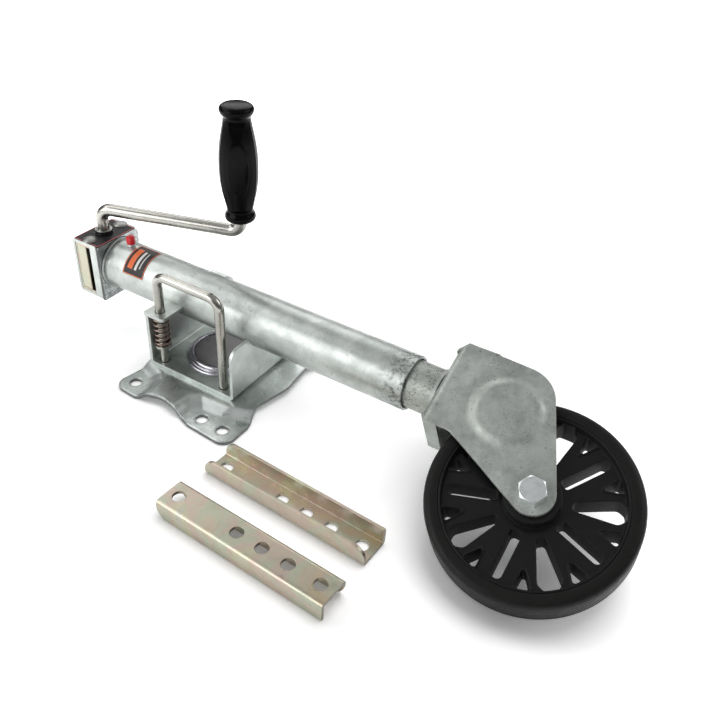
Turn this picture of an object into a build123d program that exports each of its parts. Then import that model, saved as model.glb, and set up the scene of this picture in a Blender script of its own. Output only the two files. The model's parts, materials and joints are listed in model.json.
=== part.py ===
from build123d import *
import math
import os

os.makedirs("parts", exist_ok=True)

# The row frame is the mount plate's: z = 0 is its underside, and the origin is the middle of its
# four main bolts. The jack is drawn with the swivel axis at x = y = 0 and its tube along +x, then
# turned by SADDLE_TURN about that axis and moved to SWIVEL_X.
SADDLE_TURN = 3.0
SWIVEL_X = 1.75
SWIVEL = Pos(SWIVEL_X, 0, 0)
JACK = SWIVEL * Rot(0, 0, SADDLE_TURN)

# running play round a shaft or in a bore, and the gap between faces that meet
PLAY = 0.05
GAP = 0.05

# outer tube, its head end at HEAD_X1, and the inner tube that slides in it
TUBE_Z = 87.8
TUBE_R = 30.15
TUBE_WALL = 3.0
TUBE_BORE_R = TUBE_R - TUBE_WALL
HEAD_X1 = -160.0
FACE_T = 4.0
TUBE_X0 = HEAD_X1 - FACE_T
TUBE_L = 417.5
TUBE_X1 = TUBE_X0 + TUBE_L
TUBE = Pos(0, 0, TUBE_Z)
RAM_PLAY = 1.15
RAM_WALL = 3.0
RAM_R = TUBE_BORE_R - RAM_PLAY
RAM_BORE_R = RAM_R - RAM_WALL
RAM_SHOWS = 29.5
RAM_L = 378.0
RAM_X1 = TUBE_X1 + RAM_SHOWS
RAM_X0 = RAM_X1 - RAM_L

# tyre and fork, as far as they set the castor's lean
TYRE_R = 100.0
TYRE_HALF = 20.0
TYRE_EDGE = 3.0
TRAIL = 68.65
WASHER_T = 3.5
WEB_X0 = RAM_X1 + WASHER_T
AXLE_IN = 128.7
AXLE_X = WEB_X0 + AXLE_IN


def castor_lean():
    """The lean about the tube's axis at which the tyre's lower edge touches the floor."""
    out = TRAIL + TYRE_R - TYRE_EDGE
    across = TYRE_HALF - TYRE_EDGE
    drop = TUBE_Z - TYRE_EDGE
    return math.degrees(math.asin(drop / math.hypot(out, across)) - math.atan2(across, out))


CASTOR = TUBE * Rot(castor_lean(), 0, 0)
AXLE = Pos(AXLE_X, -TRAIL, 0)


def save(name, shape, turned=True):
    part = JACK * shape if turned else shape
    part.label = name
    export_step(part, f"parts/{name}.step")


def ring_z(outer_r, inner_r, z0, z1):
    ring = Cylinder(outer_r, z1 - z0)
    if inner_r > 0:
        ring -= Cylinder(inner_r, z1 - z0 + 2)
    return Pos(0, 0, (z0 + z1) / 2) * ring


def ring_x(outer_r, inner_r, x0, x1):
    return Rot(0, 90, 0) * ring_z(outer_r, inner_r, x0, x1)


def block(x0, x1, y0, y1, z0, z1):
    middle = Pos((x0 + x1) / 2, (y0 + y1) / 2, (z0 + z1) / 2)
    return middle * Box(x1 - x0, y1 - y0, z1 - z0)


def polygon(points):
    return make_face(Polyline(*points, close=True))


def turned_profile(points):
    """Solid of revolution about z from (radius, z) points."""
    face = Plane.XZ * polygon(points)
    return revolve(face, Axis.Z, 360)


def rounded_corners(face, radii):
    """Fillet the face corners nearest to the given points, radii = [(x, y, radius), ...]."""
    for x, y, radius in radii:
        corner = min(face.vertices(), key=lambda v: (v.X - x) ** 2 + (v.Y - y) ** 2)
        face = fillet(corner, radius)
    return face


def circle_edges(shape, radius, z):
    """The circular edges of one radius that lie in one level plane."""
    round_edges = shape.edges().filter_by(GeomType.CIRCLE)
    return round_edges.filter_by(lambda e: abs(e.radius - radius) < 0.01 and abs(e.arc_center.Z - z) < 0.01)


def hexagon(across_flats, height):
    return extrude(RegularPolygon(across_flats / math.sqrt(3), 6), height)


# mount plate: low lobes that carry the bolts, and a raised cross in the middle under the saddle
PLATE_T = 4.0
PLATEAU_Z = 11.3
HOLE_R = 7.0
HOLE_Y = 95.5
BOLT_SPACING_X = 104.5
END_BOLT_SPACING = 30.5
HOLE_A_X = -BOLT_SPACING_X / 2
HOLE_B_X = BOLT_SPACING_X / 2
HOLE_C_X = HOLE_B_X + END_BOLT_SPACING
HUB_R = 39.9
SLOPE_STEPS = 5


def mirrored(points):
    """Close an outline given for y < 0 by its mirror image for y > 0."""
    return points + [(x, -y) for x, y in reversed(points) if abs(y) > 0.01]


def plate_outline():
    """Outline round the swivel axis, drawn from the end bolts and the rows of bolts."""
    left = HOLE_A_X - SWIVEL_X
    right = HOLE_C_X - SWIVEL_X
    side = -HOLE_Y
    near = [
        (left - 15, 0),
        (left - 12, side + 33.5),
        (left - 18.5, side - 17.5),
        (left + 16, side - 18.5),
        (left + 50, side - 7),
        (right - 55, side - 11.5),
        (right - 37, side - 16.5),
        (right + 20, side - 17.5),
        (right + 18.5, side + 21.5),
        (right + 8.5, side + 49.5),
        (right + 15, -5),
    ]
    radii = (0, 14, 13, 14, 22, 0, 12, 14, 10, 20, 0)
    rounds = [(x, y, r) for (x, y), r in zip(near, radii) if r > 0]
    both = rounds + [(x, -y, r) for x, y, r in rounds]
    return rounded_corners(polygon(mirrored(near)), both)


# the raised cross reaches past the outline, which trims it
CROSS_FAR = 140.0


def cross_foot():
    left = HOLE_A_X - SWIVEL_X
    right = HOLE_C_X - SWIVEL_X
    side = -HOLE_Y
    return [
        (-CROSS_FAR, side + 43.5),
        (left - 12, side + 20.5),
        (left + 4, side + 13.5),
        (left + 13, side + 6.5),
        (left + 18.5, side - 3.5),
        (left + 19, -CROSS_FAR),
        (right - 52, -CROSS_FAR),
        (right - 48, side - 0.5),
        (right - 39, side + 10.5),
        (right - 17, side + 14.5),
        (CROSS_FAR, side + 43.5),
    ]


def cross_top():
    left = HOLE_A_X - SWIVEL_X
    right = HOLE_C_X - SWIVEL_X
    side = -HOLE_Y
    return [
        (-CROSS_FAR, side + 61.5),
        (left - 12, side + 35.5),
        (left + 18, side + 27.5),
        (left + 28, side + 19.5),
        (left + 33, side + 9.5),
        (left + 34, -CROSS_FAR),
        (right - 68, -CROSS_FAR),
        (right - 65, side + 15.5),
        (right - 55, side + 25.5),
        (right - 15, side + 29.5),
        (CROSS_FAR, side + 61.5),
    ]


def plate_cross(drop):
    """The raised cross as a solid that reaches past the outline; drop lowers it by the sheet."""
    sections = []
    for i in range(SLOPE_STEPS + 1):
        along = i / SLOPE_STEPS
        rise = along * along * (3 - 2 * along)
        points = [
            (foot[0] + along * (top[0] - foot[0]), foot[1] + along * (top[1] - foot[1]))
            for foot, top in zip(cross_foot(), cross_top())
        ]
        z = PLATE_T - drop + rise * (PLATEAU_Z - PLATE_T)
        sections.append(Pos(0, 0, z) * polygon(mirrored(points)))
    return loft(sections, ruled=True)


def mount_plate():
    outline = SWIVEL * plate_outline()
    lobes = extrude(outline, PLATE_T)
    raised = SWIVEL * plate_cross(0) & extrude(outline, PLATEAU_Z + 1)
    plate = lobes + raised
    plate -= SWIVEL * plate_cross(PLATE_T)
    plate -= SWIVEL * ring_z(HUB_R, 0, -1, PLATEAU_Z + 1)
    for x in (HOLE_A_X, HOLE_B_X, HOLE_C_X):
        for y in (-HOLE_Y, HOLE_Y):
            plate -= Pos(x, y, 0) * Cylinder(HOLE_R, 4 * PLATE_T)
    for x in (LOCK_X0, LOCK_X1):
        plate -= JACK * (Pos(x, LOCK_Y, 0) * Cylinder(PIN_HOLE_R, 3 * PLATEAU_Z))
    return plate


# saddle bracket: a folded U on the plate, with its base at BASE_Z0 and a lug over the spring
SADDLE_X0 = -63.0
SADDLE_X1 = 61.5
SADDLE_Y = 61.7
SADDLE_T = 4.8
WALL_T = 4.0
INNER_BEND = 2.5
WALL_CORNER_R = 13.0
BASE_Z0 = PLATEAU_Z
BASE_Z1 = BASE_Z0 + SADDLE_T
WALL_TOP = TUBE_Z - 8.8
LUG_T = 4.0
LUG_W = 29.0
LUG_Z1 = TUBE_Z - 1.8
LUG_Z0 = LUG_Z1 - LUG_T
HUB_HOLE_R = HUB_R + 0.1

# lock rod: a bent bar whose two legs drop through the saddle base
LOCK_X0 = -49.0
LOCK_X1 = 39.7
LOCK_Y = -51.8
LOCK_R = 5.5
LOCK_BEND = 14.0
LOCK_OVER_TUBE = 16.05
LOCK_TOP_Z = TUBE_Z + TUBE_R + LOCK_OVER_TUBE
LOCK_HOLE_R = LOCK_R + 0.4
PIN_R = 5.0
PIN_HOLE_R = PIN_R + 0.9
PIN_TIP_Z = PLATEAU_Z + 0.4
PIN_TOP_Z = BASE_Z1 + 3.2
COLLAR_Z0 = BASE_Z1 + 21.9
COLLAR_T = 3.0
COLLAR_Z1 = COLLAR_Z0 + COLLAR_T
SPRING_WIRE_R = 1.1
SPRING_R = LOCK_R + SPRING_WIRE_R + 1.7
SPRING_TURNS = 5.5
WIRE_SIDES = 8


def saddle_bracket():
    top = LUG_Z1 + 10
    outer = polygon([(SADDLE_X0, BASE_Z0), (SADDLE_X1, BASE_Z0), (SADDLE_X1, top), (SADDLE_X0, top)])
    bend = INNER_BEND + WALL_T
    outer = rounded_corners(outer, [(SADDLE_X0, BASE_Z0, bend), (SADDLE_X1, BASE_Z0, bend)])
    x0 = SADDLE_X0 + WALL_T
    x1 = SADDLE_X1 - WALL_T
    inner = polygon([(x0, BASE_Z1), (x1, BASE_Z1), (x1, top + 1), (x0, top + 1)])
    inner = rounded_corners(inner, [(x0, BASE_Z1, INNER_BEND), (x1, BASE_Z1, INNER_BEND)])
    bracket = extrude(Plane.XZ * (outer - inner), SADDLE_Y, both=True)

    # side views of the two walls: rounded upper corners, and the left one rises to the lug
    right = polygon([(-SADDLE_Y, 0), (SADDLE_Y, 0), (SADDLE_Y, WALL_TOP), (-SADDLE_Y, WALL_TOP)])
    right = rounded_corners(right, [(y, WALL_TOP, WALL_CORNER_R) for y in (-SADDLE_Y, SADDLE_Y)])
    left = polygon([(-SADDLE_Y, 0), (SADDLE_Y, 0), (SADDLE_Y, WALL_TOP), (0, WALL_TOP), (0, LUG_Z1),
                    (-SADDLE_Y, LUG_Z1)])
    left = rounded_corners(left, [(SADDLE_Y, WALL_TOP, WALL_CORNER_R)])
    bracket &= extrude(Plane.YZ * right, SADDLE_X1 + 1) + extrude(Plane.YZ * left, SADDLE_X0 - 1)

    # lug over the spring, folded from the top of the left wall
    lug_x1 = SADDLE_X0 + LUG_W
    lug_y0 = -SADDLE_Y - 2.3
    lug = polygon([(SADDLE_X0, lug_y0), (lug_x1, lug_y0), (lug_x1, -20), (SADDLE_X0, -20)])
    lug = rounded_corners(lug, [(lug_x1, lug_y0, 4), (SADDLE_X0, lug_y0, 2)])
    bracket += Pos(0, 0, LUG_Z0) * extrude(lug, LUG_T)

    bracket -= TUBE * ring_x(TUBE_R, 0, SADDLE_X0 - 10, SADDLE_X1 + 10)
    bracket -= Pos(LOCK_X0, LOCK_Y, LUG_Z0) * Cylinder(LOCK_HOLE_R, 4 * LUG_T)
    for x in (LOCK_X0, LOCK_X1):
        bracket -= Pos(x, LOCK_Y, BASE_Z0) * Cylinder(PIN_HOLE_R, 4 * SADDLE_T)
    bracket -= ring_z(HUB_HOLE_R, 0, BASE_Z0 - 1, BASE_Z1 + 1)
    return bracket


# swivel hub: a stepped flange riveted through the plate, holding the saddle down
HUB_THROAT_R = 33.0
HUB_SEAT_Z = BASE_Z1 + 0.1
CAP_STEP = 3.0
CAP_RIM_R = HUB_R - 3.4


def hub_flange():
    under = PLATEAU_Z - PLATE_T
    steps = [(6.1, 0.0), (6.5, 1.0), (5.7, 2.0), (3.5, 2.4), (2.7, 4.0), (0.7, 4.6), (-0.3, 6.0), (-1.7, 6.4),
             (-2.9, 5.6)]
    points = [(HUB_THROAT_R, under), (HUB_R, under), (HUB_R, HUB_SEAT_Z)]
    points += [(HUB_R + out, HUB_SEAT_Z + up) for out, up in steps]
    points += [(CAP_RIM_R, HUB_SEAT_Z + CAP_STEP), (HUB_THROAT_R, HUB_SEAT_Z + CAP_STEP)]
    return turned_profile(points)


def hub_cap():
    z = HUB_SEAT_Z + CAP_STEP
    skirt_r = HUB_THROAT_R - 0.1
    points = [
        (0.0, z),
        (skirt_r - 0.9, z),
        (skirt_r - 0.9, z - 4.0),
        (skirt_r, z - 4.0),
        (skirt_r, z),
        (CAP_RIM_R - 0.1, z),
        (CAP_RIM_R - 0.1, z + 1.6),
        (CAP_RIM_R - 2.5, z + 1.9),
        (CAP_RIM_R - 16.5, z + 1.3),
        (0.0, z + 1.1),
    ]
    return turned_profile(points)


# outer tube with its weld ring, stop pad and grease hole
WELD_H = 2.45
WELD_W = 3.2
PAD_H = 2.65
PAD_X = -16.5
PAD_L = 23.0
PAD_TURN = -42.0
NIPPLE_X = HEAD_X1 + 21.7
NIPPLE_R = 3.0
NIPPLE_SEAT = 0.02
LABEL_X0 = HEAD_X1 + 32.0
LABEL_L = 31.5
LABEL_T = 0.27
LABEL_LIFT = 0.08
LABEL_FROM = 77.0
LABEL_TO = 160.0
GUIDE_IN = 11.5
GUIDE_L = 20.0
TUBE_CHAMFER = 0.6


def outer_tube():
    tube = ring_x(TUBE_R, TUBE_BORE_R, TUBE_X0, TUBE_X1)
    weld = ring_x(TUBE_R + WELD_H, TUBE_R - 0.5, HEAD_X1 + 0.2, HEAD_X1 + 0.2 + WELD_W)
    outside = weld.edges().filter_by(GeomType.CIRCLE).group_by(SortBy.RADIUS)[-1]
    tube += fillet(outside, 1.2)
    x0 = PAD_X - PAD_L / 2
    x1 = PAD_X + PAD_L / 2
    patch = Rot(PAD_TURN, 0, 0) * block(x0, x1, -7, 7, 0, TUBE_R + 2 * PAD_H)
    tube += ring_x(TUBE_R + PAD_H, TUBE_R - 1, x0, x1) & patch
    tube -= Pos(NIPPLE_X, 0, TUBE_R) * Cylinder(NIPPLE_R, 4 * TUBE_WALL)
    mouth = tube.edges().filter_by(GeomType.CIRCLE).group_by(Axis.X)[-1]
    return TUBE * chamfer(mouth, TUBE_CHAMFER)


def tube_label():
    inner_r = TUBE_R + LABEL_LIFT
    wrap = ring_x(inner_r + LABEL_T, inner_r, LABEL_X0, LABEL_X0 + LABEL_L)
    middle = (LABEL_FROM + LABEL_TO) / 2
    reach = 2 * TUBE_R
    corners = [(0, 0)]
    for angle in (LABEL_FROM, middle, LABEL_TO):
        corners.append((reach * math.cos(math.radians(angle)), reach * math.sin(math.radians(angle))))
    wedge = Pos(LABEL_X0 - 1, 0, 0) * extrude(Plane.YZ * polygon(corners), LABEL_L + 2)
    return TUBE * (wrap & wedge)


def guide_bush():
    x1 = TUBE_X1 - GUIDE_IN
    return TUBE * ring_x(TUBE_BORE_R, RAM_R + PLAY, x1 - GUIDE_L, x1)


# head: a folded shell open at both sides, a face plate welded to the tube, and a yellow gear carrier
HEAD_L = 42.6
HEAD_X0 = HEAD_X1 - HEAD_L
HEAD_Y = TUBE_R + 2.85
HEAD_UP = TUBE_R + 3.45
HEAD_DOWN = TUBE_R + 9.25
HEAD_Z0 = TUBE_Z - HEAD_DOWN
HEAD_Z1 = TUBE_Z + HEAD_UP
SHELL_T = 3.8
SHELL_BEND = 4.5
SHELL_X1 = TUBE_X0 - 0.3
STRIP_W = 10.4
STRIP_T = 3.2
CARRIER_T = 2.4
CARRIER_L = 24.0
FACE_CORNER_R = 6.0
CRANK_IN = 23.0
CRANK_X = HEAD_X1 - CRANK_IN
SHAFT_R = 5.0
CRANK_R = 7.5
BUSH_R = CRANK_R + 2.0
BUSH_RIM = 1.9
RIVET_X = CRANK_X + 2.0
RIVET_Y = HEAD_Y - 8.0
RIVET_SHANK_R = 3.5
RIVET_HEAD_R = 8.8
HEAD_LABEL_T = 0.5


def head_shell():
    shell = block(HEAD_X0, SHELL_X1, -HEAD_Y, HEAD_Y, HEAD_Z0, HEAD_Z1)
    shell = fillet(shell.edges().filter_by(Axis.Y).group_by(Axis.X)[0], SHELL_BEND)
    inner_z0 = HEAD_Z0 + SHELL_T
    inner_z1 = HEAD_Z1 - SHELL_T
    inner_x0 = HEAD_X0 + SHELL_T
    strip_y = HEAD_Y - STRIP_T
    shell -= block(inner_x0, SHELL_X1 + 1, -strip_y, strip_y, inner_z0, inner_z1)
    shell -= block(inner_x0, SHELL_X1 - STRIP_W, -HEAD_Y - 1, HEAD_Y + 1, inner_z0, inner_z1)
    for z in (HEAD_Z0, HEAD_Z1):
        shell -= Pos(CRANK_X, 0, z) * Cylinder(BUSH_R, 3 * SHELL_T)
    for y in (-RIVET_Y, RIVET_Y):
        shell -= Pos(RIVET_X, y, HEAD_Z1) * Cylinder(RIVET_SHANK_R, 3 * SHELL_T)
    return shell


def head_face_plate():
    plate = block(TUBE_X0, HEAD_X1, -HEAD_Y, HEAD_Y, HEAD_Z0 - 0.8, HEAD_Z1)
    plate = fillet(plate.edges().filter_by(Axis.X).group_by(Axis.Z)[-1], FACE_CORNER_R)
    plate -= TUBE * ring_x(TUBE_R, 0, TUBE_X0 - 1, HEAD_X1 + 1)
    return plate


def gear_carrier():
    """A yellow channel inside the shell, with its web on the end wall and a flange over each bush."""
    x0 = HEAD_X0 + SHELL_T
    x1 = x0 + CARRIER_L
    z0 = HEAD_Z0 + SHELL_T
    z1 = HEAD_Z1 - SHELL_T
    y = HEAD_Y - 0.6
    carrier = block(x0, x1, -y, y, z0, z1)
    carrier -= block(x0 + CARRIER_T, x1 + 1, -y - 1, y + 1, z0 + CARRIER_T, z1 - CARRIER_T)
    for z in (z0, z1):
        carrier -= Pos(CRANK_X, 0, z) * Cylinder(BUSH_R, 3 * CARRIER_T)
    for y in (-RIVET_Y, RIVET_Y):
        carrier -= Pos(RIVET_X, y, z1) * Cylinder(RIVET_SHANK_R, 3 * CARRIER_T)
    return carrier


def head_label():
    x0 = HEAD_X0 + 2.0
    x1 = HEAD_X1 - 0.6
    y0 = -HEAD_Y + 0.8
    y1 = HEAD_Y - 3.5
    film = polygon([(x0, y0), (x1, y0), (x1, y1), (x0, y1)])
    film = rounded_corners(film, [(x0, y0, 2), (x1, y0, FACE_CORNER_R - 1), (x1, y1, 2), (x0, y1, 2)])
    label = Pos(0, 0, HEAD_Z1) * extrude(film, HEAD_LABEL_T)
    label -= Pos(CRANK_X, 0, HEAD_Z1) * Cylinder(BUSH_R + BUSH_RIM + 0.3, 4)
    for y in (-RIVET_Y, RIVET_Y):
        label -= Pos(RIVET_X, y, HEAD_Z1) * Cylinder(RIVET_SHANK_R, 4)
    return label


def head_rivet(y):
    under = HEAD_Z1 - SHELL_T - CARRIER_T
    z = HEAD_Z1 + HEAD_LABEL_T
    points = [
        (0, under),
        (RIVET_SHANK_R, under),
        (RIVET_SHANK_R, z),
        (RIVET_HEAD_R, z),
        (RIVET_HEAD_R - 0.3, z + 0.9),
        (RIVET_HEAD_R - 2.0, z + 2.0),
        (RIVET_HEAD_R - 4.6, z + 2.8),
        (0, z + 3.1),
    ]
    return Pos(RIVET_X, y, 0) * turned_profile(points)


def crank_bush():
    z = HEAD_Z1
    bore = CRANK_R + PLAY
    points = [
        (bore, z - SHELL_T - CARRIER_T),
        (BUSH_R, z - SHELL_T - CARRIER_T),
        (BUSH_R, z),
        (BUSH_R + BUSH_RIM, z),
        (BUSH_R + BUSH_RIM, z + 1.5),
        (BUSH_R + BUSH_RIM - 0.4, z + 1.9),
        (BUSH_R - 0.3, z + 1.9),
        (BUSH_R - 0.3, z + 3.1),
        (BUSH_R + 0.9, z + 3.1),
        (BUSH_R + 0.9, z + 4.6),
        (BUSH_R + 0.4, z + 5.1),
        (bore, z + 5.1),
    ]
    return Pos(CRANK_X, 0, 0) * turned_profile(points)


def lower_bush():
    z = HEAD_Z0
    points = [
        (0, z - 4.0),
        (SHAFT_R, z - 3.6),
        (BUSH_R - 0.5, z - 2.0),
        (BUSH_R + 1.0, z - 0.01),
        (BUSH_R, z - 0.01),
        (BUSH_R, z + SHELL_T + CARRIER_T),
        (SHAFT_R + PLAY, z + SHELL_T + CARRIER_T),
        (SHAFT_R + PLAY, z + 1),
        (0, z + 1),
    ]
    return Pos(CRANK_X, 0, 0) * turned_profile(points)


def grease_nipple():
    z = TUBE_Z + TUBE_R + NIPPLE_SEAT
    shank_r = NIPPLE_R - 0.01
    points = [
        (0, z - 4),
        (shank_r, z - 4),
        (shank_r, z),
        (NIPPLE_R + 1.6, z),
        (NIPPLE_R + 1.6, z + 2.4),
        (NIPPLE_R, z + 3.0),
        (NIPPLE_R, z + 8),
        (0, z + 8),
    ]
    return Pos(NIPPLE_X, 0, 0) * turned_profile(points)


def nipple_cap():
    z = TUBE_Z + TUBE_R + NIPPLE_SEAT + 3.05
    points = [
        (NIPPLE_R, z),
        (NIPPLE_R + 2.2, z),
        (NIPPLE_R + 2.4, z + 5.0),
        (NIPPLE_R + 2.0, z + 8.2),
        (NIPPLE_R + 0.6, z + 9.4),
        (0, z + 9.8),
        (0, z + 4.95),
        (NIPPLE_R, z + 4.95),
    ]
    return Pos(NIPPLE_X, 0, 0) * turned_profile(points)


# gears: a spur pinion on the crank shaft drives a face gear on the screw
PINION_TEETH = 10
GEAR_TEETH = 18
PINION_ROOT_R = 7.9
PINION_TIP_R = 11.3
PINION_TOOTH_FOOT = 1.6
PINION_TOOTH_TIP = 0.65
PINION_W = 8.0
GEAR_R = 22.0
GEAR_T = 4.4
GEAR_TOOTH_H = 3.4
GEAR_TOOTH_L = 6.0
GEAR_TOOTH_FOOT = 1.75
GEAR_TOOTH_TIP = 0.6
PINION_Z0 = TUBE_Z + GEAR_R - PINION_W + 0.2
GEAR_FACE_X = CRANK_X + PINION_TIP_R + 0.7
GEAR_BACK_X = GEAR_FACE_X + GEAR_T

# lead screw in its bearing, and the nut that pushes the inner tube
SCREW_NECK_R = 8.0
SCREW_R = 10.5
SCREW_L = 339.0
SCREW_PLAY = 0.06
BEARING_L = 14.0
SCREW_SHOULDER_X = TUBE_X0 + BEARING_L + 1.0
NUT_L = 37.0
NUT_FLANGE = 4.0
SHOE_L = 18.0
SHOE_IN = 5.0


def crank_pinion():
    gear = ring_z(PINION_ROOT_R, SHAFT_R, PINION_Z0, PINION_Z0 + PINION_W)
    root = PINION_ROOT_R - 0.9
    tooth = polygon([(root, -PINION_TOOTH_FOOT), (PINION_TIP_R, -PINION_TOOTH_TIP),
                     (PINION_TIP_R, PINION_TOOTH_TIP), (root, PINION_TOOTH_FOOT)])
    solid = Pos(0, 0, PINION_Z0) * extrude(tooth, PINION_W)
    pitch = 360 / PINION_TEETH
    for i in range(PINION_TEETH):
        gear += Rot(0, 0, i * pitch + pitch / 2) * solid
    return Pos(CRANK_X, 0, 0) * gear


def face_gear():
    gear = ring_x(GEAR_R, SCREW_NECK_R, GEAR_FACE_X, GEAR_BACK_X)
    # one tooth, standing towards -x, straddling the top of the wheel
    tip_x = GEAR_FACE_X - GEAR_TOOTH_H
    section = polygon([(GEAR_FACE_X + 1, -GEAR_TOOTH_FOOT), (tip_x, -GEAR_TOOTH_TIP), (tip_x, GEAR_TOOTH_TIP),
                       (GEAR_FACE_X + 1, GEAR_TOOTH_FOOT)])
    tooth = Pos(0, 0, GEAR_R - 0.5 - GEAR_TOOTH_L) * extrude(section, GEAR_TOOTH_L)
    for i in range(GEAR_TEETH):
        gear += Rot(i * 360 / GEAR_TEETH, 0, 0) * tooth
    return TUBE * gear


def lead_screw():
    screw = ring_x(SCREW_NECK_R, 0, GEAR_FACE_X - 1.5, SCREW_SHOULDER_X)
    screw += ring_x(SCREW_R, 0, SCREW_SHOULDER_X, SCREW_SHOULDER_X + SCREW_L)
    tip = screw.edges().filter_by(GeomType.CIRCLE).group_by(Axis.X)[-1]
    return TUBE * chamfer(tip, 2.0)


def thrust_washer():
    return TUBE * ring_x(17.0, SCREW_NECK_R + PLAY, GEAR_BACK_X + GAP, TUBE_X0 - GAP)


def screw_bearing():
    return TUBE * ring_x(TUBE_BORE_R, SCREW_NECK_R + PLAY, TUBE_X0, TUBE_X0 + BEARING_L)


def inner_tube():
    return TUBE * ring_x(RAM_R, RAM_BORE_R, RAM_X0, RAM_X1)


def drive_nut():
    bore = SCREW_R + SCREW_PLAY
    nut = ring_x(RAM_BORE_R, bore, RAM_X0, RAM_X0 + NUT_L)
    nut += ring_x(RAM_R, bore, RAM_X0 - NUT_FLANGE, RAM_X0)
    return TUBE * nut


def slide_shoe():
    x0 = RAM_X0 + SHOE_IN
    return TUBE * ring_x(TUBE_BORE_R - PLAY, RAM_R, x0, x0 + SHOE_L)


# pivot between the inner tube and the fork
PIVOT_R = 12.0
PIVOT_REACH = 16.0
PLUG_IN = 23.0
FORK_T = 4.2
WEB_X1 = WEB_X0 + FORK_T
RING_T = 2.65
RING_X1 = WEB_X1 + GAP + RING_T
CLIP_T = 1.9
CLIP_GROOVE = 1.2


def pivot_plug():
    plug = ring_x(RAM_BORE_R, 0, RAM_X1 - PLUG_IN, RAM_X1)
    plug += ring_x(PIVOT_R, 0, RAM_X1, RAM_X1 + PIVOT_REACH)
    plug -= ring_x(PIVOT_R + 2, PIVOT_R - CLIP_GROOVE, RING_X1, RING_X1 + CLIP_T + 2 * GAP)
    return TUBE * plug


def fork_washer():
    return TUBE * ring_x(RAM_R + 1.5, PIVOT_R + PLAY, RAM_X1 + GAP, WEB_X0 - GAP)


def pivot_ring():
    return TUBE * ring_x(PIVOT_R + 6.0, PIVOT_R + PLAY, WEB_X1 + GAP, RING_X1)


def pivot_clip():
    clip = ring_x(PIVOT_R + 4.0, PIVOT_R - CLIP_GROOVE, RING_X1 + GAP, RING_X1 + GAP + CLIP_T)
    clip -= block(RING_X1, RING_X1 + 2 * CLIP_T, -2.5, 2.5, 0, 2 * PIVOT_R)
    return TUBE * clip


# fork: one folded sheet, a web on the pivot and two cheeks, each with a shallow round boss
CHEEK_N0 = 27.0
CHEEK_N1 = CHEEK_N0 + FORK_T
FORK_BEND = 4.0
FORK_UP = 51.2
FORK_DOWN = -45.0
EYE_R = 21.0
EYE_TOP = 23.4
EYE_BOTTOM = 243.7
BOSS_X = WEB_X0 + 74.0
BOSS_S = -4.0
BOSS_R = 37.5
BOSS_CROWN_R = 29.5
BOSS_H = 3.6
BOSS_SOFT = 13.0
TOP_LIP = 41.5
FOOT_LIP = 18.5
LIP_INSET = 0.8
AXLE_R = 8.0


def eye_point(angle):
    x = AXLE_X + EYE_R * math.cos(math.radians(angle))
    return (x, -TRAIL + EYE_R * math.sin(math.radians(angle)))


def cheek_face():
    face = polygon([
        (WEB_X0, FORK_DOWN + 4.5),
        (WEB_X0, FORK_UP - 8.7),
        (WEB_X0 + 8, FORK_UP),
        (AXLE_X - 28.2, FORK_UP - 2.7),
        eye_point(EYE_TOP),
        eye_point(EYE_BOTTOM),
        (AXLE_X - 97.2, FORK_DOWN + 1),
        (WEB_X0 + 3.5, FORK_DOWN),
    ])
    face = rounded_corners(face, [(AXLE_X - 28.2, FORK_UP - 2.7, 38), (AXLE_X - 97.2, FORK_DOWN + 1, 16)])
    return face + Pos(AXLE_X, -TRAIL) * Circle(EYE_R)


def folded_sheet():
    """Section of the sheet across the fork, in the plane of the tube's axis."""
    far = AXLE_X + 2 * EYE_R
    outer = polygon([(WEB_X0, -CHEEK_N1), (far, -CHEEK_N1), (far, CHEEK_N1), (WEB_X0, CHEEK_N1)])
    bend = FORK_BEND + FORK_T
    outer = rounded_corners(outer, [(WEB_X0, -CHEEK_N1, bend), (WEB_X0, CHEEK_N1, bend)])
    inner = polygon([(WEB_X1, -CHEEK_N0), (far + 1, -CHEEK_N0), (far + 1, CHEEK_N0), (WEB_X1, CHEEK_N0)])
    inner = rounded_corners(inner, [(WEB_X1, -CHEEK_N0, FORK_BEND), (WEB_X1, CHEEK_N0, FORK_BEND)])
    return extrude(Plane.XZ * (outer - inner), 2 * TRAIL, both=True)


def cheek_boss(z, outset):
    """A low frustum on a cheek, its base outset larger than the inside hollow's."""
    frustum = Cone(BOSS_R + outset, BOSS_CROWN_R + outset, BOSS_H)
    return Pos(BOSS_X, BOSS_S, z + BOSS_H / 2) * frustum


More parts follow.
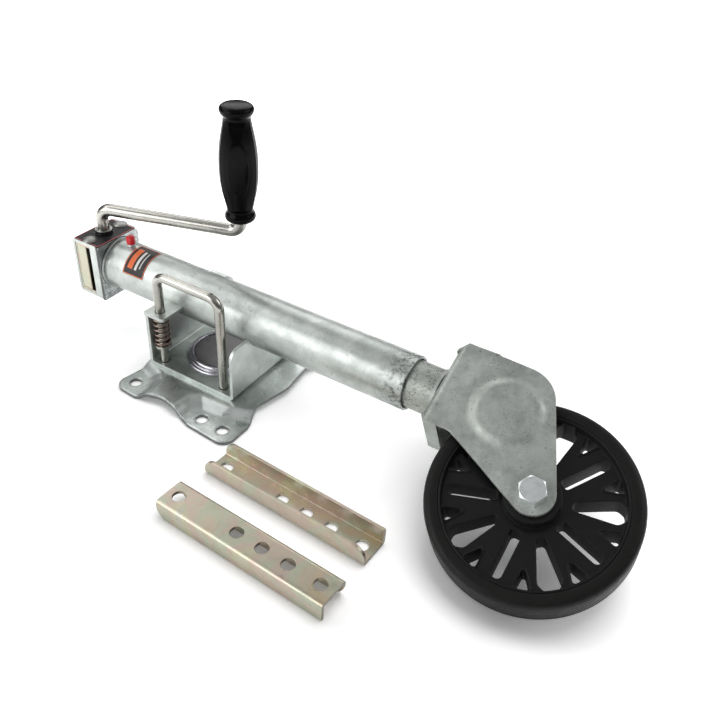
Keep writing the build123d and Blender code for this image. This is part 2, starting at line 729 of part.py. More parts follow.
def fork():
    body = folded_sheet() & Pos(0, 0, -CHEEK_N1) * extrude(cheek_face(), 2 * CHEEK_N1)
    lip_x = WEB_X0 + TOP_LIP
    top = polygon([(WEB_X0, FORK_UP - 10.2), (WEB_X0 + 8, FORK_UP), (lip_x, FORK_UP + 0.5),
                   (lip_x, FORK_UP - 3.7), (WEB_X0 + 9.5, FORK_UP - 4.2), (WEB_X0, FORK_UP - 13.7)])
    body += Pos(0, 0, LIP_INSET - CHEEK_N1) * extrude(top, 2 * (CHEEK_N1 - LIP_INSET))
    lip_x = WEB_X0 + FOOT_LIP
    bottom = polygon([(WEB_X0, FORK_DOWN + 4.5), (WEB_X0 + 3.5, FORK_DOWN), (lip_x, FORK_DOWN),
                      (lip_x, FORK_DOWN + 4), (WEB_X0 + 4.5, FORK_DOWN + 4), (WEB_X0, FORK_DOWN + 8)])
    body += Pos(0, 0, LIP_INSET - CHEEK_N1) * extrude(bottom, 2 * (CHEEK_N1 - LIP_INSET))
    bump = cheek_boss(CHEEK_N1, 0)
    hollow = cheek_boss(CHEEK_N0, -FORK_T / 2)
    body = body + bump + mirror(bump, Plane.XY) - hollow - mirror(hollow, Plane.XY)
    for z in (CHEEK_N1, -CHEEK_N1):
        crown_z = z + math.copysign(BOSS_H, z)
        soft = circle_edges(body, BOSS_R, z) + circle_edges(body, BOSS_CROWN_R, crown_z)
        body = fillet(soft, BOSS_SOFT)
    body -= Pos(AXLE_X, -TRAIL, 0) * Cylinder(AXLE_R + 0.1, 4 * CHEEK_N1)
    body = CASTOR * body
    return body - TUBE * ring_x(PIVOT_R + PLAY, 0, WEB_X0 - 5, WEB_X1 + 5)


# axle and wheel
BOLT_AF = 24.0
BOLT_HEAD_H = 10.0
NUT_H = 12.0
HUB_HALF = 25.5
SLEEVE_R = AXLE_R + 4.0
BUSH_BORE_R = SLEEVE_R + 3.0
SPACER_R = SLEEVE_R + 7.0


def axle_bolt():
    low = -CHEEK_N1 - NUT_H - 1.6
    bolt = ring_z(AXLE_R, 0, low, CHEEK_N1 + 1)
    head = Pos(0, 0, CHEEK_N1) * hexagon(BOLT_AF, BOLT_HEAD_H)
    top = CHEEK_N1 + BOLT_HEAD_H
    cone = turned_profile([(0, CHEEK_N1 - 1), (BOLT_AF, CHEEK_N1 - 1), (BOLT_AF, top - 5.5),
                           (BOLT_AF / 2 - 0.3, top), (0, top)])
    return CASTOR * (AXLE * (bolt + (head & cone)))


def axle_nut():
    nut = hexagon(BOLT_AF, NUT_H) - Cylinder(AXLE_R, 4 * NUT_H)
    return CASTOR * (AXLE * (Pos(0, 0, -CHEEK_N1 - NUT_H) * nut))


def axle_sleeve():
    return CASTOR * (AXLE * ring_z(SLEEVE_R, AXLE_R + 0.02, -CHEEK_N0, CHEEK_N0))


def hub_spacer(side):
    spacer = ring_z(SPACER_R, SLEEVE_R + PLAY, HUB_HALF + GAP, CHEEK_N0)
    if side < 0:
        spacer = mirror(spacer, Plane.XY)
    return CASTOR * (AXLE * spacer)


TYRE_T = 8.0
SIDEWALL_T = 3.0
SIDEWALL_H = 6.0
SEAT_R = TYRE_R - TYRE_T
RIM_HALF = TYRE_HALF - SIDEWALL_T
SIDEWALL_R = SEAT_R - SIDEWALL_H
RIM_R = SIDEWALL_R - 1.8
DISC_HALF = 13.0
HUB_R_OUT = BUSH_BORE_R + 11.3
FIRST_WINDOW = 17.5
WINDOWS = 5
DROP_HALF = 11.5
SLOT_HALF = 5.5
SMALL_HALF = 7.6
LIP_W = 1.4
LIP_H = 1.2


def drop_window():
    """Teardrop drawn along +x, wide at the rim."""
    outer = RIM_R - 1.0
    inner = HUB_R_OUT + 9.5
    wide = outer - 7
    face = polygon([(inner, -4), (inner, 4), (wide, DROP_HALF), (outer, 6), (outer, -6), (wide, -DROP_HALF)])
    rounds = [(inner, -4, 3.6), (inner, 4, 3.6), (wide, DROP_HALF, 7), (wide, -DROP_HALF, 7)]
    return rounded_corners(face, rounds)


def slot_window():
    outer = RIM_R - 4.5
    inner = HUB_R_OUT + 5.2
    face = polygon([(inner, -SLOT_HALF), (outer, -SLOT_HALF), (outer, SLOT_HALF), (inner, SLOT_HALF)])
    rounds = [(inner, -SLOT_HALF, 3.5), (inner, SLOT_HALF, 3.5), (outer, -SLOT_HALF, 4.5),
              (outer, SLOT_HALF, 4.5)]
    return rounded_corners(face, rounds)


def small_window(grow):
    """Rounded triangle pointing at the hub; grow gives the outline of the lip round it."""
    outer = RIM_R - 1.8 + grow
    inner = RIM_R - 23.0 - 2 * grow
    half = SMALL_HALF + 1.3 * grow
    face = polygon([(inner, 0), (outer, -half), (outer, half)])
    return rounded_corners(face, [(inner, 0, 2.2), (outer, -half, 2.6), (outer, half, 2.6)])


def window_cutter(face, angle):
    return Rot(0, 0, angle) * Pos(0, 0, -2 * DISC_HALF) * extrude(face, 4 * DISC_HALF)


def wheel_centre():
    wheel = ring_z(SEAT_R, 0, -RIM_HALF, RIM_HALF)
    shoulder = TYRE_HALF - 0.6
    wheel += ring_z(SIDEWALL_R - 0.05, 0, -shoulder, shoulder)
    top = shoulder + 0.1
    recess = turned_profile([(0, DISC_HALF), (RIM_R - 2.0, DISC_HALF), (RIM_R, top), (0, top)])
    wheel -= recess
    wheel -= mirror(recess, Plane.XY)
    wheel += ring_z(HUB_R_OUT, 0, -HUB_HALF, HUB_HALF)
    sector = 360 / WINDOWS
    lip = Pos(0, 0, -DISC_HALF - LIP_H) * extrude(small_window(LIP_W), 2 * (DISC_HALF + LIP_H))
    lips = []
    cutters = []
    for i in range(WINDOWS):
        middle = FIRST_WINDOW + i * sector
        for angle in (middle - sector / 4, middle + sector / 4):
            lips.append(Rot(0, 0, angle) * lip)
            cutters.append(window_cutter(small_window(0), angle))
        cutters.append(window_cutter(drop_window(), middle))
        cutters.append(window_cutter(slot_window(), middle - sector / 2))
    wheel = wheel + lips - cutters
    wheel -= Cylinder(BUSH_BORE_R, 4 * HUB_HALF)
    return CASTOR * (AXLE * wheel)


def tyre():
    """One band whose sidewalls reach down over the rim's edges."""
    section = polygon([
        (SIDEWALL_R, -TYRE_HALF),
        (TYRE_R, -TYRE_HALF),
        (TYRE_R, TYRE_HALF),
        (SIDEWALL_R, TYRE_HALF),
        (SIDEWALL_R, RIM_HALF),
        (SEAT_R, RIM_HALF),
        (SEAT_R, -RIM_HALF),
        (SIDEWALL_R, -RIM_HALF),
    ])
    section = rounded_corners(section, [(TYRE_R, -TYRE_HALF, TYRE_EDGE), (TYRE_R, TYRE_HALF, TYRE_EDGE)])
    return CASTOR * (AXLE * revolve(Plane.XZ * section, Axis.Z, 360))


def hub_bush(side):
    bush = ring_z(BUSH_BORE_R, SLEEVE_R + PLAY, 8, HUB_HALF)
    if side < 0:
        bush = mirror(bush, Plane.XY)
    return CASTOR * (AXLE * bush)


# lock rod, spring and collar
def swept_bar(points, bend, radius):
    """Round bar along a polyline whose corners are bent to the given radius."""
    path = FilletPolyline(*points, radius=bend)
    start = Plane(origin=path @ 0, z_dir=path % 0)
    return sweep(start * Circle(radius), path=path)


def lock_rod():
    points = [
        (LOCK_X0, LOCK_Y, COLLAR_Z0 - 2),
        (LOCK_X0, LOCK_Y, LOCK_TOP_Z),
        (LOCK_X1, LOCK_Y, LOCK_TOP_Z),
        (LOCK_X1, LOCK_Y, PIN_TOP_Z),
    ]
    rod = swept_bar(points, LOCK_BEND, LOCK_R)
    for x, z1 in ((LOCK_X0, COLLAR_Z0 - 2), (LOCK_X1, PIN_TOP_Z)):
        tip = ring_z(PIN_R, 0, PIN_TIP_Z, z1 + 0.5)
        tip = chamfer(tip.edges().group_by(Axis.Z)[0], 1.2)
        rod += Pos(x, LOCK_Y, 0) * tip
    return rod


def spring_collar():
    return Pos(LOCK_X0, LOCK_Y, 0) * ring_z(SPRING_R + 1.2, LOCK_R, COLLAR_Z0, COLLAR_Z1)


def lock_spring():
    """A coil of octagonal section, with a closed ring at each end."""
    z0 = COLLAR_Z1 + SPRING_WIRE_R + 0.04
    z1 = LUG_Z0 - SPRING_WIRE_R - 0.04
    wire = RegularPolygon(SPRING_WIRE_R, WIRE_SIDES)
    helix = Pos(0, 0, z0) * Helix(pitch=(z1 - z0) / SPRING_TURNS, height=z1 - z0, radius=SPRING_R)
    start = Plane(origin=helix @ 0, z_dir=helix % 0)
    coil = sweep(start * wire, path=helix, is_frenet=True)
    for z in (z0, z1):
        coil += revolve(Pos(SPRING_R, 0, z) * (Plane.XZ * wire), Axis.Z, 360)
    return Pos(LOCK_X0, LOCK_Y, 0) * coil


# crank rod and grip
GRIP_X = -13.9
GRIP_Y = 55.3
ARM_RISE = 32.0
ARM_Z = HEAD_Z1 + ARM_RISE
CRANK_BEND = 14.0
GRIP_Z0 = ARM_Z + 12.6
GRIP_L = 142.5
GRIP_Z1 = GRIP_Z0 + GRIP_L
GRIP_FACING = -54.0
GRIP_TOP_WALL = 13.5
PANEL_REACH = 17.3
PANEL_PROUD = 0.7
SIDE_FLAT_REACH = 18.6


def crank_rod():
    points = [
        (CRANK_X, 0, HEAD_Z1 - 8),
        (CRANK_X, 0, ARM_Z),
        (GRIP_X, GRIP_Y, ARM_Z),
        (GRIP_X, GRIP_Y, GRIP_Z1 - GRIP_TOP_WALL - 0.5),
    ]
    rod = swept_bar(points, CRANK_BEND, CRANK_R)
    shaft = ring_z(SHAFT_R, 0, HEAD_Z0 + 1.2, HEAD_Z1 - 7)
    return rod + Pos(CRANK_X, 0, 0) * shaft


def grip_body():
    """The barrel between its two beads, turned from smooth curves."""
    z = GRIP_Z0
    foot = Spline((12.6, z), (16.6, z + 3.0), (18.2, z + 9.5), (16.6, z + 16.0), (15.0, z + 19.5))
    barrel = Spline((15.0, z + 19.5), (17.8, z + 32), (20.9, z + 52), (21.8, z + 69), (20.9, z + 90),
                    (18.0, z + 109), (14.8, z + 124))
    crown = Spline((14.8, z + 124), (16.9, z + 129), (17.7, z + 133.5), (16.7, z + 138.5), (12.6, z + GRIP_L))
    close = Polyline((12.6, z + GRIP_L), (0, z + GRIP_L), (0, z), (12.6, z))
    return revolve(Plane.XZ * make_face(foot + barrel + crown + close), Axis.Z, 360)


def crank_grip():
    grip = grip_body()
    # flats on the barrel: a broad one front and back, narrower ones beside it
    low = GRIP_Z0 + 21
    high = GRIP_Z0 + 122.5
    flats = [(turn, PANEL_REACH - PANEL_PROUD) for turn in (0, 180)]
    flats += [(turn, SIDE_FLAT_REACH) for turn in (52, 128, 232, 308)]
    for turn, reach in flats:
        grip -= Rot(0, 0, GRIP_FACING + turn) * block(reach, 60, -60, 60, low, high)
    # an oval panel stands a little proud of each broad flat
    oval = Plane.YZ * Ellipse(12.0, 33.0)
    for turn in (0, 180):
        panel = Pos(0, 0, GRIP_Z0 + 68) * extrude(oval, PANEL_REACH)
        grip += Rot(0, 0, GRIP_FACING + turn) * (panel - block(-1, 12, -20, 20, GRIP_Z0, GRIP_Z1))
    bore = CRANK_R + PLAY
    grip -= ring_z(bore, 0, GRIP_Z0 - 1, GRIP_Z1 - GRIP_TOP_WALL)
    grip -= turned_profile([(0, GRIP_Z0 - 1), (bore + 2, GRIP_Z0 - 1), (bore, GRIP_Z0 + 3), (0, GRIP_Z0 + 3)])
    grip -= ring_z(11.6, 10.6, GRIP_Z1 - 0.5, GRIP_Z1 + 1)
    return Pos(GRIP_X, GRIP_Y, 0) * grip


# backing channels, loose on the floor in front of the jack
CHANNEL_L = 200.0
CHANNEL_W = 36.0
CHANNEL_H = 21.0
CHANNEL_T = 3.4
CHANNEL_BEND = 1.2
CHANNEL_END_R = 13.5
CHANNEL_FIRST_X = -86.2
CHANNEL_END_ROOM = 14.5
NEAR_X = 214.1
NEAR_Y = -205.2
FAR_X = 210.6
FAR_Y = -134.1


def channel_holes():
    first = CHANNEL_FIRST_X
    third = first + BOLT_SPACING_X
    last = CHANNEL_L / 2 - CHANNEL_END_ROOM
    return (first, third - END_BOLT_SPACING, third, third + END_BOLT_SPACING, last)


def channel(web_up):
    half_w = CHANNEL_W / 2
    half_l = CHANNEL_L / 2
    outer = polygon([(-half_w, 0), (half_w, 0), (half_w, CHANNEL_H), (-half_w, CHANNEL_H)])
    bend = CHANNEL_BEND + CHANNEL_T
    tip = CHANNEL_T / 4
    outer = rounded_corners(outer, [(-half_w, 0, bend), (half_w, 0, bend), (-half_w, CHANNEL_H, tip),
                                    (half_w, CHANNEL_H, tip)])
    reach = half_w - CHANNEL_T
    above = CHANNEL_H + 5
    inner = polygon([(-reach, CHANNEL_T), (reach, CHANNEL_T), (reach, above), (-reach, above)])
    inner = rounded_corners(inner, [(-reach, CHANNEL_T, CHANNEL_BEND), (reach, CHANNEL_T, CHANNEL_BEND)])
    body = extrude(Plane.YZ * (outer - inner), half_l, both=True)
    side = polygon([(-half_l, -1), (half_l, -1), (half_l, CHANNEL_H), (-half_l, CHANNEL_H)])
    side = rounded_corners(side, [(-half_l, CHANNEL_H, CHANNEL_END_R), (half_l, CHANNEL_H, CHANNEL_END_R)])
    body &= extrude(Plane.XZ * side, CHANNEL_W, both=True)
    for x in channel_holes():
        body -= Pos(x, 0, 0) * Cylinder(HOLE_R, 6 * CHANNEL_T)
    if web_up:
        body = Pos(0, 0, CHANNEL_H) * (Rot(180, 0, 0) * body)
    return body


save("mount_plate", mount_plate(), turned=False)
save("hub_flange", SWIVEL * hub_flange(), turned=False)
save("hub_cap", SWIVEL * hub_cap(), turned=False)
save("channel_near", Pos(NEAR_X, NEAR_Y, 0) * channel(True), turned=False)
save("channel_far", Pos(FAR_X, FAR_Y, 0) * channel(False), turned=False)

save("saddle_bracket", saddle_bracket())
save("outer_tube", outer_tube())
save("tube_label", tube_label())
save("guide_bush", guide_bush())
save("head_shell", head_shell())
save("head_face_plate", head_face_plate())
save("gear_carrier", gear_carrier())
save("head_label", head_label())
save("rivet_near", head_rivet(-RIVET_Y))
save("rivet_far", head_rivet(RIVET_Y))
save("crank_bush", crank_bush())
save("lower_bush", lower_bush())
save("grease_nipple", grease_nipple())
save("nipple_cap", nipple_cap())
save("screw_bearing", screw_bearing())

save("lock_rod", lock_rod())
save("spring_collar", spring_collar())
save("lock_spring", lock_spring())

save("crank_rod", crank_rod())
save("crank_pinion", crank_pinion())
save("crank_grip", crank_grip())

save("lead_screw", lead_screw())
save("face_gear", face_gear())
save("thrust_washer", thrust_washer())

save("inner_tube", inner_tube())
save("drive_nut", drive_nut())
save("slide_shoe", slide_shoe())
save("pivot_plug", pivot_plug())
save("pivot_clip", pivot_clip())
save("fork_washer", fork_washer())

save("fork", fork())
save("pivot_ring", pivot_ring())
save("axle_bolt", axle_bolt())
save("axle_nut", axle_nut())
save("axle_sleeve", axle_sleeve())
save("hub_spacer_upper", hub_spacer(1))
save("hub_spacer_lower", hub_spacer(-1))

save("wheel_centre", wheel_centre())
save("tyre", tyre())
save("hub_bush_upper", hub_bush(1))
save("hub_bush_lower", hub_bush(-1))
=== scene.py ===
import json
import math
import bpy
import bmesh
from mathutils import Euler, Matrix, Vector


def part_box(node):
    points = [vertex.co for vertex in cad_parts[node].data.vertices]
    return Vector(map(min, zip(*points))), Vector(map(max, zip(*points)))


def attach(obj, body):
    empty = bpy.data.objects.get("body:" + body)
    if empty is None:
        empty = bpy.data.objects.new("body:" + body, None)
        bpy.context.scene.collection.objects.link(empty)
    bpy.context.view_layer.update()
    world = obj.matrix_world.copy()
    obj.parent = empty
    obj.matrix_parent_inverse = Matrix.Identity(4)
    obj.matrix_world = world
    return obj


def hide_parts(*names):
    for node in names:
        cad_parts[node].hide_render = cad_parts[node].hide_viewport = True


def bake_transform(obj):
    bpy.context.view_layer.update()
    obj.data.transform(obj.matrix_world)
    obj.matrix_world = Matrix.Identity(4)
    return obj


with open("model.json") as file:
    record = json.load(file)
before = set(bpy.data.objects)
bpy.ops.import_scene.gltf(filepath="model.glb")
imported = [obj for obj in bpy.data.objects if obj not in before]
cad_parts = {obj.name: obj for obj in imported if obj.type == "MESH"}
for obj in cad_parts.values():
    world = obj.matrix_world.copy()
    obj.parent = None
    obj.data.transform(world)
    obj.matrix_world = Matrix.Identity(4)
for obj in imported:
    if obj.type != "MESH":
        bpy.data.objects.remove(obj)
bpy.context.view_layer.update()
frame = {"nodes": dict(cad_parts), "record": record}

# The jack's own frame: its tube runs along +x, turned by SADDLE_TURN about the swivel axis.
SADDLE_TURN = math.radians(3.0)
SWIVEL_X = 0.00175
TUBE_Z = 0.0878
TUBE_R = 0.03015
TUBE_END_X = 0.2535
WELD_END_X = -0.1545
# where the scrapes and painted shade near the tube's open end start and are full, and how far the painted
# shade reaches from the weld
SCRAPE_SHADE_START_X = TUBE_END_X - 0.036
SCRAPE_SHADE_FULL_X = TUBE_END_X - 0.008
WELD_SHADE_L = 0.022
CRANK_X = -0.183
# bright rings on the crank's bush, as inner and outer radius
BRIGHT_RINGS = ((0.0070, 0.0083), (0.0094, 0.0101))
# printed film on the head: low and high x, low and high y
HEAD_FILM = (-0.2006, -0.1606, -0.0322, 0.0295)
# film on the tube: low and high x, then from and to along its round from the +y side
TUBE_FILM = (-0.128, -0.0965, 0.0405, 0.0842)
# bands on that film, from its low corner: start and end along x, start and end along its round, colour
FILM_BARS = (
    ((0.005, 0.0125, 0.007, 0.036), (0.75, 0.15, 0.04)),
    ((0.0155, 0.0190, 0.009, 0.036), (0.70, 0.69, 0.67)),
    ((0.0220, 0.0238, 0.010, 0.033), (0.55, 0.54, 0.52)),
)


def jack(x, y, z):
    """A point of the jack's own frame, in metres, as a point of the row frame."""
    c = math.cos(SADDLE_TURN)
    s = math.sin(SADDLE_TURN)
    return Vector((SWIVEL_X + c * x - s * y, s * x + c * y, z))


# camera, as solved from the photograph
CAMERA_AT = (0.5528, -0.5687, 0.6060)
CAMERA_TURN = (52.835, -3.173, 34.582)
SENSOR = 36.0
LENS = 40.08


def add_camera():
    """The photograph's camera."""
    data = bpy.data.cameras.new("camera")
    data.sensor_width = SENSOR
    data.sensor_fit = "HORIZONTAL"
    data.lens = LENS
    data.clip_start = 0.01
    data.clip_end = 50
    camera = bpy.data.objects.new("camera", data)
    bpy.context.collection.objects.link(camera)
    camera.location = CAMERA_AT
    camera.rotation_euler = Euler([math.radians(a) for a in CAMERA_TURN], "XYZ")
    bpy.context.scene.camera = camera


# node helpers; a mix node holds its colour inputs and output beside those of its other data types
COLOUR_MIX_SLOTS = (0, 6, 7)
COLOUR_MIX_OUT = 2


def set_stops(band, stops):
    """Fills a colour ramp with (position, colour) stops."""
    while len(band.elements) < len(stops):
        band.elements.new(0.5)
    for element, (position, colour) in zip(band.elements, stops):
        element.position = position
        element.color = (*colour, 1.0)


class Nodes:
    """A material's node tree, with short calls for the nodes that the finishes share."""

    def __init__(self, name):
        self.material = bpy.data.materials.new(name)
        self.material.use_nodes = True
        self.tree = self.material.node_tree
        self.shader = self.tree.nodes["Principled BSDF"]
        self.place = self.tree.nodes.new("ShaderNodeTexCoord").outputs["Object"]

    def link(self, source, target):
        self.tree.links.new(source, target)

    def set(self, **values):
        for key, value in values.items():
            self.shader.inputs[key.replace("_", " ")].default_value = value

    def feed(self, node, slot, value):
        """Puts a number, a colour or another node's output into one of a node's inputs."""
        if isinstance(value, (int, float)):
            node.inputs[slot].default_value = value
        elif isinstance(value, tuple):
            node.inputs[slot].default_value = (*value, 1.0)
        else:
            self.link(value, node.inputs[slot])

    def noise(self, scale, detail=4.0, rough=0.55, distortion=0.0):
        node = self.tree.nodes.new("ShaderNodeTexNoise")
        node.inputs["Scale"].default_value = scale
        node.inputs["Detail"].default_value = detail
        node.inputs["Roughness"].default_value = rough
        node.inputs["Distortion"].default_value = distortion
        self.link(self.place, node.inputs["Vector"])
        return node.outputs["Fac"]

    def cells(self, scale):
        """A flat random value per cell, as the crystals of a zinc coat."""
        node = self.tree.nodes.new("ShaderNodeTexVoronoi")
        node.inputs["Scale"].default_value = scale
        self.link(self.place, node.inputs["Vector"])
        split = self.tree.nodes.new("ShaderNodeSeparateColor")
        self.link(node.outputs["Color"], split.inputs["Color"])
        return split.outputs["Red"]

    def ramp(self, value, stops):
        """Colours a value by (position, colour) stops."""
        node = self.tree.nodes.new("ShaderNodeValToRGB")
        set_stops(node.color_ramp, stops)
        self.link(value, node.inputs["Fac"])
        return node.outputs["Color"]

    def grey(self, value, low, high, at=(0.3, 0.7)):
        """Maps a value's middle range to a grey from low to high."""
        node = self.tree.nodes.new("ShaderNodeMapRange")
        node.inputs["From Min"].default_value = at[0]
        node.inputs["From Max"].default_value = at[1]
        node.inputs["To Min"].default_value = low
        node.inputs["To Max"].default_value = high
        self.link(value, node.inputs["Value"])
        return node.outputs["Result"]

    def mix(self, factor, first, second):
        node = self.tree.nodes.new("ShaderNodeMix")
        node.data_type = "RGBA"
        for slot, value in zip(COLOUR_MIX_SLOTS, (factor, first, second)):
            self.feed(node, slot, value)
        return node.outputs[COLOUR_MIX_OUT]

    def math(self, kind, first, second=0.0):
        node = self.tree.nodes.new("ShaderNodeMath")
        node.operation = kind
        self.feed(node, 0, first)
        self.feed(node, 1, second)
        return node.outputs["Value"]

    def split(self, vector):
        node = self.tree.nodes.new("ShaderNodeSeparateXYZ")
        self.link(vector, node.inputs["Vector"])
        return node.outputs["X"], node.outputs["Y"], node.outputs["Z"]

    def jack_place(self):
        """Object coordinates turned back into the jack's own frame."""
        node = self.tree.nodes.new("ShaderNodeMapping")
        node.vector_type = "TEXTURE"
        node.inputs["Location"].default_value = (SWIVEL_X, 0, 0)
        node.inputs["Rotation"].default_value = (0, 0, SADDLE_TURN)
        self.link(self.place, node.inputs["Vector"])
        return node.outputs["Vector"]

    def inside(self, first, second, box):
        """1 inside a rectangle (low, high, low, high) of two coordinates, 0 outside."""
        value = 1.0
        for coordinate, low, high in ((first, box[0], box[1]), (second, box[2], box[3])):
            value = self.math("MULTIPLY", value, self.math("GREATER_THAN", coordinate, low))
            value = self.math("MULTIPLY", value, self.math("LESS_THAN", coordinate, high))
        return value

    def frame_line(self, first, second, box, outset, inset):
        """1 on a line round a rectangle, between two distances in from its edge."""
        wider = (box[0] + outset, box[1] - outset, box[2] + outset, box[3] - outset)
        outer = self.inside(first, second, wider)
        inner = self.inside(first, second, (box[0] + inset, box[1] - inset, box[2] + inset, box[3] - inset))
        return self.math("SUBTRACT", outer, inner)

    def facing(self, axis):
        """How squarely a face looks along an axis of the object, from 0 to 1."""
        node = self.tree.nodes.new("ShaderNodeVectorMath")
        node.operation = "DOT_PRODUCT"
        self.link(self.tree.nodes.new("ShaderNodeTexCoord").outputs["Normal"], node.inputs[0])
        node.inputs[1].default_value = axis
        return self.math("ABSOLUTE", node.outputs["Value"])

    def soft_edge(self, radius):
        """A normal that rounds sharp edges, as folded and moulded edges are."""
        node = self.tree.nodes.new("ShaderNodeBevel")
        node.samples = 4
        node.inputs["Radius"].default_value = radius
        return node.outputs["Normal"]

    def bump(self, height, strength, distance, under=None):
        node = self.tree.nodes.new("ShaderNodeBump")
        node.inputs["Strength"].default_value = strength
        node.inputs["Distance"].default_value = distance
        self.link(height, node.inputs["Height"])
        if under is not None:
            self.link(under, node.inputs["Normal"])
        return node.outputs["Normal"]

    def finish(self, colour, roughness, normal=None):
        """Links the shader's main inputs, and gives the material."""
        self.link(colour, self.shader.inputs["Base Color"])
        self.link(roughness, self.shader.inputs["Roughness"])
        if normal is not None:
            self.link(normal, self.shader.inputs["Normal"])
        return self.material


# metals
X_AXIS = (1.0, 0.0, 0.0)
Z_AXIS = (0.0, 0.0, 1.0)
SPECK_GREY = (0.055, 0.06, 0.055)
SPECK_BAND = 0.055
# the grey of scrapes and marks, and of painted shade on dark edges
MARK_AND_SHADE_GREY = (0.05, 0.052, 0.05)
CUT_GREY = (0.07, 0.065, 0.05)


def galvanised(name, dark, light, rough, speck, wave=0.05, marks_and_shade=None, edge=0.0008, speck_from=0.645,
               wave_scale=55, rough_zone=None):
    """Hot-dip zinc: cloudy grey, faint crystals, small dark specks, a slightly wavy skin."""
    n = Nodes(name)
    n.set(Metallic=0.85)
    middle = tuple((a + b) / 2 for a, b in zip(dark, light))
    cloud = n.noise(26, 7, 0.62, 0.4)
    base = n.ramp(cloud, [(0.34, dark), (0.5, middle), (0.66, light)])
    crystal = n.cells(190)
    base = n.mix(0.18, base, n.ramp(crystal, [(0.0, dark), (1.0, light)]))
    streak = n.noise(80, 5, 0.6, 0.8)
    base = n.mix(n.grey(streak, 0.0, 0.3, (0.55, 0.75)), base, tuple(0.75 * c for c in dark))
    spots = n.noise(430, 3, 0.7)
    base = n.mix(n.grey(spots, 0.0, speck, (speck_from, speck_from + SPECK_BAND)), base, SPECK_GREY)
    # real marks, and on some finishes painted shade on the edges, darken the base towards that grey
    if marks_and_shade is not None:
        base = n.mix(marks_and_shade(n), base, MARK_AND_SHADE_GREY)
    roughness = n.grey(n.noise(70, 5, 0.6), rough[0], rough[1])
    skin = n.bump(n.noise(wave_scale, 3, 0.5), wave, 0.004, n.soft_edge(edge))
    skin = n.bump(n.noise(600, 3, 0.6), 0.06, 0.0006, skin)
    if rough_zone is not None:
        skin = n.bump(n.math("MULTIPLY", n.noise(230, 3, 0.6), rough_zone(n)), 0.8, 0.003, skin)
    return n.finish(base, roughness, skin)


def face_edge_shade(n):
    """Painted shade: the face plate's edges, which face across the tube, are made nearly black, standing in
    for the shade in its seams and rounded corners.
    """
    return n.math("MULTIPLY", n.math("LESS_THAN", n.facing(X_AXIS), 0.6), 0.9)


def plate_rim_shade(n):
    """Painted shade: the plate's rim and hole walls, which stand upright, are made dark."""
    return n.math("MULTIPLY", n.math("LESS_THAN", n.facing(Z_AXIS), 0.3), 0.75)


def weld_zone(n):
    """1 on the weld bead where the tube meets the face plate."""
    return n.grey(n.split(n.jack_place())[0], 1.0, 0.0, (WELD_END_X, WELD_END_X + 0.001))


def scrapes_and_end_shade(n):
    """Dark scrapes at the tube's open end, made deeper there as painted shade, a smooth painted shade by its
    weld, and a few thin scrapes along it.
    """
    x = n.split(n.jack_place())[0]
    near_end = n.grey(x, 0.0, 1.0, (SCRAPE_SHADE_START_X, SCRAPE_SHADE_FULL_X))
    blot = n.grey(n.noise(95, 6, 0.72, 1.5), 0.08, 1.0, (0.47, 0.56))
    fine = n.grey(n.noise(480, 4, 0.7, 0.6), 0.25, 0.85, (0.38, 0.56))
    # scrapes at the open end, deepened as painted shade
    scrapes_and_shade = n.math("MULTIPLY", n.math("MULTIPLY", near_end, blot), fine)
    # a smooth painted shade along the tube towards the weld
    weld_shade = n.grey(x, 0.22, 0.0, (WELD_END_X, WELD_END_X + WELD_SHADE_L))
    thin = n.grey(n.noise(85, 5, 0.8, 2.6), 0.0, 0.6, (0.61, 0.65))
    return n.math("MAXIMUM", n.math("MAXIMUM", scrapes_and_shade, weld_shade), thin)


def press_marks(n):
    """Fine dark scratches and rubbed patches on the pressed fork."""
    patch = n.grey(n.noise(38, 4, 0.6, 0.8), 0.0, 1.0, (0.48, 0.62))
    grit = n.grey(n.noise(620, 5, 0.8, 0.8), 0.0, 0.6, (0.52, 0.64))
    thin = n.grey(n.noise(85, 5, 0.8, 2.8), 0.0, 0.6, (0.64, 0.675))
    return n.math("MAXIMUM", n.math("MULTIPLY", patch, grit), thin)


def ram_marks(n):
    """Dark pits that crowd in patches on the sliding tube."""
    patch = n.grey(n.noise(55, 4, 0.65, 0.6), 0.15, 1.0, (0.42, 0.54))
    grit = n.grey(n.noise(420, 5, 0.8, 0.8), 0.0, 0.7, (0.48, 0.58))
    return n.math("MULTIPLY", patch, grit)


def bright_rod():
    """Bright zinc bar: smooth, a little warm, with faint marks."""
    n = Nodes("bright_rod")
    n.set(Metallic=1.0)
    tint = n.noise(14, 3, 0.5, 0.3)
    base = n.ramp(tint, [
        (0.35, (0.35, 0.345, 0.31)),
        (0.5, (0.435, 0.43, 0.395)),
        (0.65, (0.40, 0.40, 0.365)),
    ])
    spots = n.noise(260, 3, 0.7)
    base = n.mix(n.grey(spots, 0.0, 0.4, (0.67, 0.74)), base, (0.25, 0.24, 0.20))
    roughness = n.grey(n.noise(90, 4, 0.6), 0.20, 0.30)
    skin = n.bump(n.noise(500, 2, 0.5), 0.012, 0.0003)
    return n.finish(base, roughness, skin)


